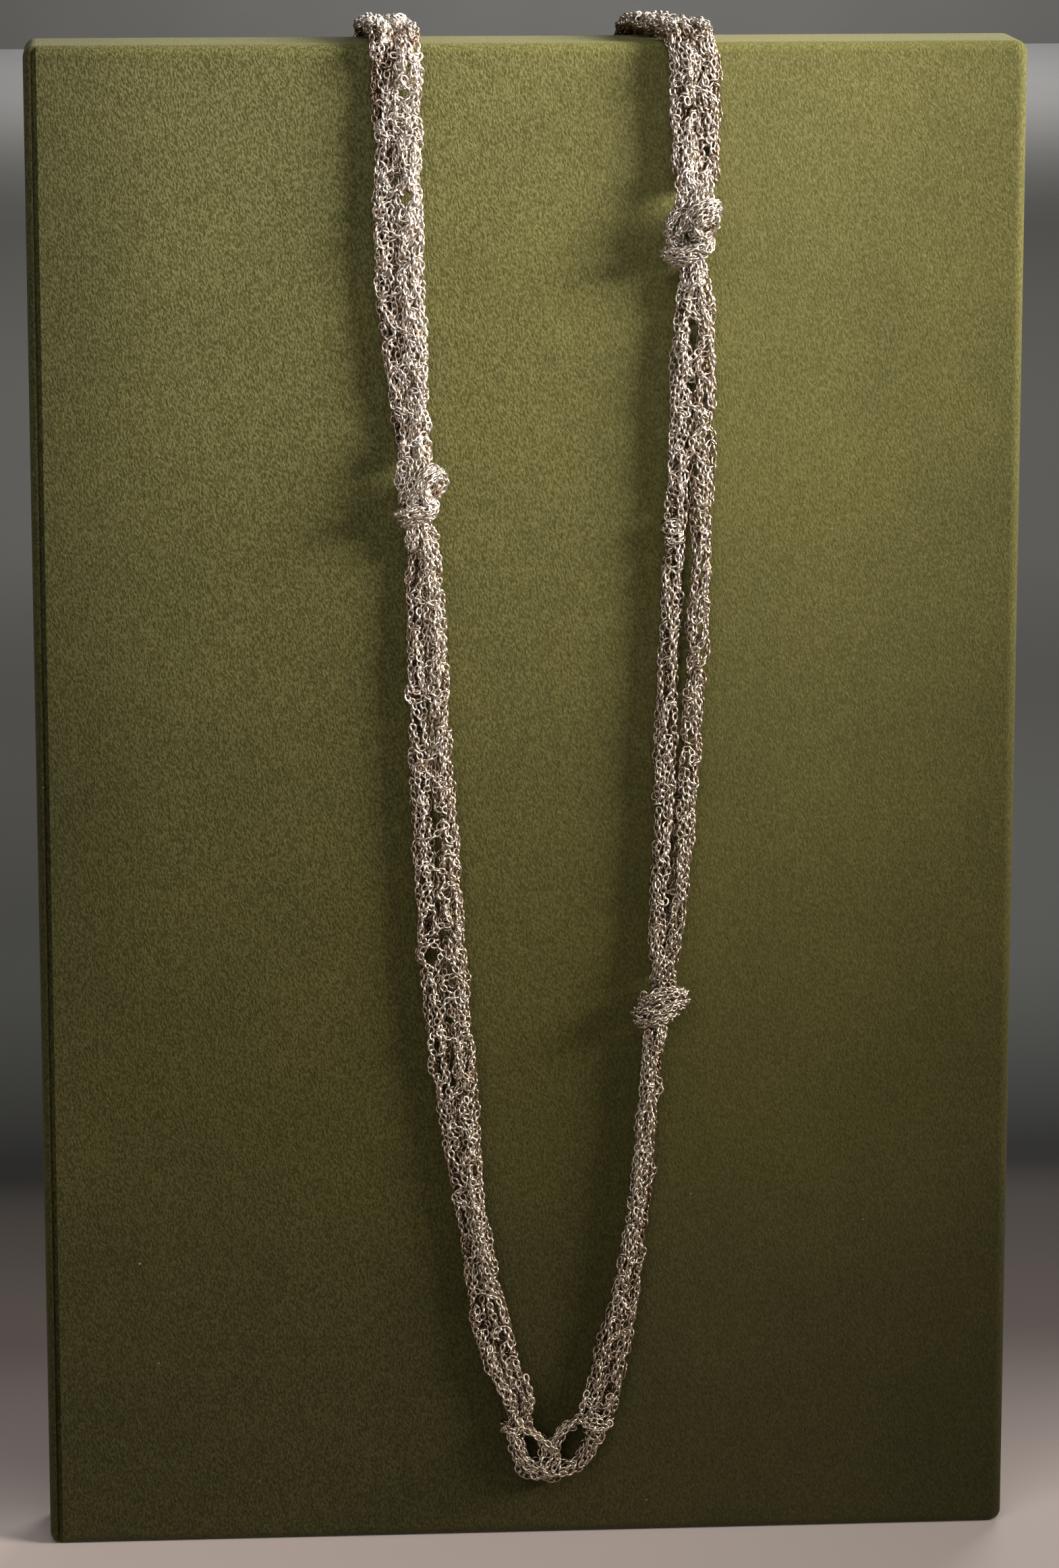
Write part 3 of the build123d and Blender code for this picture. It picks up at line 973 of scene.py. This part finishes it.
def silver():
    """Polished silver, slightly warm, and brown where it lies deep in the band.

    That brown is painted shade, darkest next to the board. The colour also carries painted
    shade, low down and on the right strand.
    """
    material, tree, shader, coordinates = new_material("silver")
    broad = noise(tree, coordinates, Scale=420.0, Detail=3.0)
    fine = noise(tree, coordinates, Scale=2600.0, Detail=2.0)
    tint = colour_ramp(
        tree,
        broad,
        [(0.30, (0.74, 0.63, 0.54)), (0.48, (0.91, 0.825, 0.75)), (0.70, (0.97, 0.91, 0.86))],
    )
    # Painted shade: darker and browner deep in the band, next to the board.
    painted_depth_shade = colour_ramp(
        tree,
        depth_over_board(tree, coordinates),
        [(0.15, (0.38, 0.27, 0.20)), (0.55, (0.70, 0.62, 0.55)), (0.85, (1.0, 0.98, 0.96))],
    )
    low_shade = colour_ramp(
        tree,
        height_share(tree, coordinates),
        [
            (0.0, (0.50, 0.465, 0.395)),
            (0.35, (0.54, 0.51, 0.445)),
            (0.65, (0.70, 0.675, 0.625)),
            (0.90, (0.81, 0.805, 0.78)),
        ],
    )
    right_shade = colour_ramp(
        tree,
        breadth_share(tree, coordinates),
        [(0.46, white), (0.60, (0.82, 0.81, 0.79))],
    )
    shaded = multiplied(tree, multiplied(tree, tint, painted_depth_shade), low_shade)
    fill_named(
        tree,
        shader,
        Base_Color=multiplied(tree, shaded, right_shade),
        Metallic=1.0,
        Roughness=read_between(tree, broad, noise_low, noise_high, 0.46, 0.32),
        Normal=bumps(tree, fine, 0.12, 0.08 * mm),
    )
    return material


def velvet():
    """Short-piled cotton velvet in olive green, its pile lying in small uneven tufts.

    Its colour also carries the photograph's shade, low down and at the left and right.
    """
    material, tree, shader, coordinates = new_material("velvet")
    slant = node(
        tree,
        "ShaderNodeMapping",
        Vector=coordinates,
        Rotation=(0.0, math.radians(-14), 0.0),
        Scale=(1.0, 1.0, 2.0),
    )
    slant.vector_type = "TEXTURE"
    tufts = noise(
        tree,
        slant.outputs["Vector"],
        Scale=2750.0,
        Detail=3.0,
        Roughness=0.60,
        Distortion=0.3,
    )
    patches = noise(tree, coordinates, Scale=45.0, Detail=4.0)
    specks = noise(tree, coordinates, Scale=1100.0, Detail=0.0)
    height = height_share(tree, coordinates)
    breadth = breadth_share(tree, coordinates)
    # Painted light: the tufts get more contrast towards the left and less towards the right, in
    # colour and in bump.
    tufts_with_painted_light = contrasted(tree, tufts, read_between(tree, breadth, 0.3, 0.7, 1.5, 0.85))
    pile = colour_ramp(
        tree,
        tufts_with_painted_light,
        [
            (0.32, (0.062, 0.056, 0.015)),
            (0.50, (0.109, 0.100, 0.033)),
            (0.68, (0.172, 0.160, 0.061)),
        ],
    )
    patchy = colour_ramp(
        tree, patches, [(0.32, (0.91, 0.92, 0.93)), (0.68, (1.06, 1.05, 1.03))]
    )
    low_shade = colour_ramp(
        tree,
        height,
        [
            (0.0, (0.230, 0.209, 0.169)),
            (0.17, (0.265, 0.246, 0.183)),
            (0.30, (0.360, 0.337, 0.242)),
            (0.43, (0.460, 0.435, 0.330)),
            (0.57, (0.620, 0.600, 0.500)),
            (0.75, (0.820, 0.812, 0.740)),
            (0.992, grey(0.95)),
            (1.0, (0.93, 0.95, 0.80)),
        ],
    )
    left_shade = colour_ramp(
        tree,
        breadth,
        [
            (0.0, (0.42, 0.425, 0.435)),
            (0.05, (0.50, 0.508, 0.518)),
            (0.14, (0.69, 0.70, 0.71)),
            (0.27, (0.79, 0.80, 0.81)),
            (0.45, grey(0.94)),
            (0.55, white),
        ],
    )
    right_shade = colour_ramp(
        tree, breadth, [(0.80, white), (0.93, (0.84, 0.84, 0.82)), (1.0, (0.74, 0.74, 0.72))]
    )
    left_share = colour_ramp(tree, height, [(0, grey(0.05)), (0.25, grey(0.30)), (0.5, white)])
    shaded = multiplied(tree, multiplied(tree, pile, patchy), low_shade)
    shaded = multiplied(tree, multiplied(tree, shaded, right_shade), left_shade, left_share)
    lint = colour_ramp(tree, specks, [(0.905, black), (0.920, white)])
    fill_named(
        tree,
        shader,
        Base_Color=mixed_colour(tree, lint, shaded, (0.22, 0.20, 0.13, 1.0)),
        Roughness=0.95,
        Specular_IOR_Level=0.10,
        Sheen_Weight=0.10,
        Sheen_Roughness=0.5,
        Sheen_Tint=(0.75, 0.70, 0.42, 1.0),
        Normal=bumps(tree, tufts_with_painted_light, 0.60, 0.3 * mm),
    )
    return material


def new_paper(name):
    """A new matt material, and the noise that mottles it faintly."""
    material, tree, shader, coordinates = new_material(name)
    fill_named(tree, shader, Roughness=0.9, Specular_IOR_Level=0.1)
    mottle = noise(tree, coordinates, Scale=9.0, Detail=4.0)
    return material, tree, shader, coordinates, mottle


def wall_material():
    """Matt grey paper."""
    material, tree, shader, coordinates, mottle = new_paper("grey_wall")
    colour = (0.30, 0.30, 0.29)
    darker = tuple(0.95 * part for part in colour)
    tint = colour_ramp(tree, mottle, [(0.35, darker), (0.65, colour)])
    fill_named(tree, shader, Base_Color=tint)
    return material


def floor_material():
    """Matt paper, pale round the board, with a grey ground from its far edge on."""
    material, tree, shader, coordinates, mottle = new_paper("pale_floor")
    place = place_share(tree, coordinates, "Y", 0.0, far_y)
    edge = paper_end / far_y
    # Painted shade: darker behind the board and darkest just beyond the paper's far edge, then
    # lighter again towards the wall.
    ground = colour_ramp(
        tree,
        place,
        [
            (0.0, (0.450, 0.376, 0.340)),
            (0.03, (0.124, 0.099, 0.087)),
            (edge - edge_blur, (0.076, 0.063, 0.055)),
            (edge + edge_blur, (0.018, 0.017, 0.014)),
            (0.12, (0.16, 0.159, 0.146)),
            (0.30, (0.47, 0.467, 0.44)),
            (1.0, (0.64, 0.634, 0.63)),
        ],
    )
    left_shade = colour_ramp(
        tree,
        breadth_share(tree, coordinates),
        [(0.0, (0.50, 0.50, 0.49)), (0.35, grey(0.75)), (0.60, white)],
    )
    # Where the painted shade towards the left shows: behind the board, fading out further back.
    behind = colour_ramp(
        tree,
        place,
        [
            (0.0, black),
            (0.005, grey(0.40)),
            (edge, white),
            (0.14, white),
            (0.20, grey(0.45)),
            (0.32, black),
        ],
    )
    shaded = multiplied(tree, ground, left_shade, behind)
    mottled = multiplied(tree, shaded, (0.94, 0.94, 0.94, 1.0), mottle)
    fill_named(tree, shader, Base_Color=mottled)
    return material


silver_material = silver()
velvet_material = velvet()
fine_link = link_form()
coarse_link = link_form(turns=3)
plain_link = link_form(sides=3, turns=3)
hidden_link = link_form(sides=3, turns=2)


def add_chain(name, placed, replaced, form=fine_link):
    """Adds one stretch of chain, which stands in the place of a CAD node."""
    piece = chain_piece(name, placed, form, random)
    piece.data.materials.append(silver_material)
    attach(piece, "root")
    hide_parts(replaced)


def knitted_stretch(rows_of_side, draw, gapped=True, **choices):
    """The links of both strips of one stretch of the band."""
    placed = []
    for side in (1, -1):
        route = Route(rows_of_side(side))
        start = start_spread * draw.uniform(0, 1)
        points, facing = knit(route, draw, start=start, **choices)
        if gapped:
            points = open_gaps(points)
        placed.append(link_places(points, facing, draw))
    return placed


def joined(table, inward):
    """The links of a chain that joins the two strips of a strand."""
    return link_places(*joining_chain(table, inward, random), random)


def left_upper_rows(side):
    """Rows from the middle of the board's top to the left knot."""
    rows = edge_strip(left_front_x, left_back_x, side, left_inward, front_y, -1)[::-1]
    return rows + front_strip(left_above_knot, side, left_inward)


def lower_rows(side):
    """Rows from the left knot round the foot to the lower right knot."""
    rows = front_strip(left_below_knot, side, left_inward)
    rows += foot_strip(inner_foot if side == 1 else outer_foot)
    return rows + front_strip(right_below_knots, side, right_inward)


def middle_rows(side):
    """Rows between the two knots of the right strand."""
    return front_strip(right_between_knots, side, right_inward)


def right_upper_rows(side):
    """Rows from the upper right knot to the middle of the board's top."""
    rows = front_strip(right_above_knots, side, right_inward)
    return rows + edge_strip(right_front_x, right_back_x, side, right_inward, front_y, -1)


def back_right_rows(side):
    """Rows from the middle of the top down the right of the back."""
    rows = edge_strip(right_front_x, right_back_x, side, right_inward, back_y, 1)[::-1]
    return rows + back_strip(side)[:edge_rows]


def back_rows(side):
    """Rows of the loop behind the board, which share a row with the stretch at each end."""
    return back_strip(side)[edge_rows - 1 : 1 - edge_rows]


def back_left_rows(side):
    """Rows from the left of the back up to the middle of the top."""
    rows = edge_strip(left_front_x, left_back_x, side, left_inward, back_y, 1)
    return back_strip(side)[-edge_rows:] + rows


def split_links(placed, shares):
    """Links of a long stretch shared out among pieces, by how far along each strip they are."""
    pieces = []
    for low, high in zip(shares[:-1], shares[1:]):
        part = []
        for middle, run, normal in placed:
            count = len(middle)
            chosen = slice(int(low * count), int(high * count))
            part.append((middle[chosen], run[chosen], normal[chosen]))
        pieces.append(part)
    return pieces


upper_left = knitted_stretch(left_upper_rows, random, loops_round=close_wales)
upper_left.append(joined(left_above_knot, left_inward))
add_chain("chain_left_upper", upper_left, "band_front")

lower_placed = knitted_stretch(lower_rows, random, loose=foot_loose)
left_lower, left_low, foot, right_low = split_links(lower_placed, [0, 0.3, 0.55, 0.8, 1])
left_lower.append(joined(left_below_knot, left_inward))
right_low.append(joined(right_below_knots, right_inward))
for row in windings:
    foot.append(link_places(*winding(*row, random), random))
for table in loose_chains:
    foot.append(link_places(*loose_chain(table), random))
add_chain("chain_left_lower", left_lower, "band_front", coarse_link)
add_chain("chain_left_low", left_low, "band_front", coarse_link)
add_chain("chain_foot", foot, "band_front")
add_chain("chain_right_low", right_low, "band_front", coarse_link)

right_middle, right_high = split_links(knitted_stretch(middle_rows, random), [0, 0.5, 1])
right_high.append(joined(right_between_knots[first_joined_row:], right_inward))
add_chain("chain_right_middle", right_middle, "band_front")
add_chain("chain_right_high", right_high, "band_front")

upper_right = knitted_stretch(right_upper_rows, random, loops_round=close_wales)
upper_right.append(joined(right_above_knots, right_inward))
add_chain("chain_right_upper", upper_right, "band_front")

back_pieces = [
    ("chain_back_right", back_right_rows, close_wales, plain_link),
    ("chain_back_left", back_left_rows, close_wales, plain_link),
    ("chain_back", back_rows, back_wales, hidden_link),
]
for name, rows_of_side, loops_round, form in back_pieces:
    placed = knitted_stretch(rows_of_side, random, gapped=False, loops_round=loops_round)
    add_chain(name, placed, "band_back", form)

for name in knots:
    route = Route(knot_rows(name), carried=True)
    points, facing = knit(
        route, random, loops_round=knot_wales, sunk=knot_sunk, loose=knot_loose
    )
    add_chain(name + "_turns", [link_places(points, facing, random)], name, coarse_link)

# The board is the one CAD node that shows
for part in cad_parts.values():
    if not part.hide_render:
        part.data.materials.clear()
        part.data.materials.append(velvet_material)


def stage_sheet(name, near_y, end_y, end_z, material):
    """One flat sheet of the surroundings, from the floor at near_y to its other end."""
    corners = [
        (-stage_half, near_y, 0),
        (stage_half, near_y, 0),
        (stage_half, end_y, end_z),
        (-stage_half, end_y, end_z),
    ]
    mesh = bpy.data.meshes.new(name)
    mesh.from_pydata(corners, [], [(0, 1, 2, 3)])
    mesh.materials.append(material)
    add_object(name, mesh)


stage_sheet("floor", -stage_half, far_y, 0, floor_material())
stage_sheet("wall", far_y, far_y, wall_height, wall_material())


def aim(thing, place, direction):
    """Puts a light or a camera in its place, looking in a direction."""
    thing.location = place
    thing.rotation_mode = "QUATERNION"
    thing.rotation_quaternion = direction.to_track_quat("-Z", "Y")


def soft_light(name, place, target, size, power, spread, colour):
    """An area light that lights the scene and isn't seen itself."""
    data = bpy.data.lights.new(name, "AREA")
    data.shape = "RECTANGLE"
    data.size, data.size_y = size
    data.energy = power
    data.spread = math.radians(spread)
    data.color = colour
    lamp = add_object(name, data)
    lamp.visible_camera = False
    aim(lamp, place, Vector(target) - Vector(place))


for row in lights:
    soft_light(*row)

world = bpy.data.worlds.new("studio")
world.use_nodes = True
background = world.node_tree.nodes["Background"]
background.inputs["Color"].default_value = (0.52, 0.48, 0.43, 1.0)
background.inputs["Strength"].default_value = 0.16
bpy.context.scene.world = world
bpy.context.scene.view_settings.view_transform = "Standard"

camera_data = bpy.data.cameras.new("camera")
camera_data.sensor_width = 36.0
camera_data.lens = 126.91
camera_data.clip_end = 20.0
camera = add_object("camera", camera_data)
aim(camera, camera_place, camera_direction)
bpy.context.scene.camera = camera
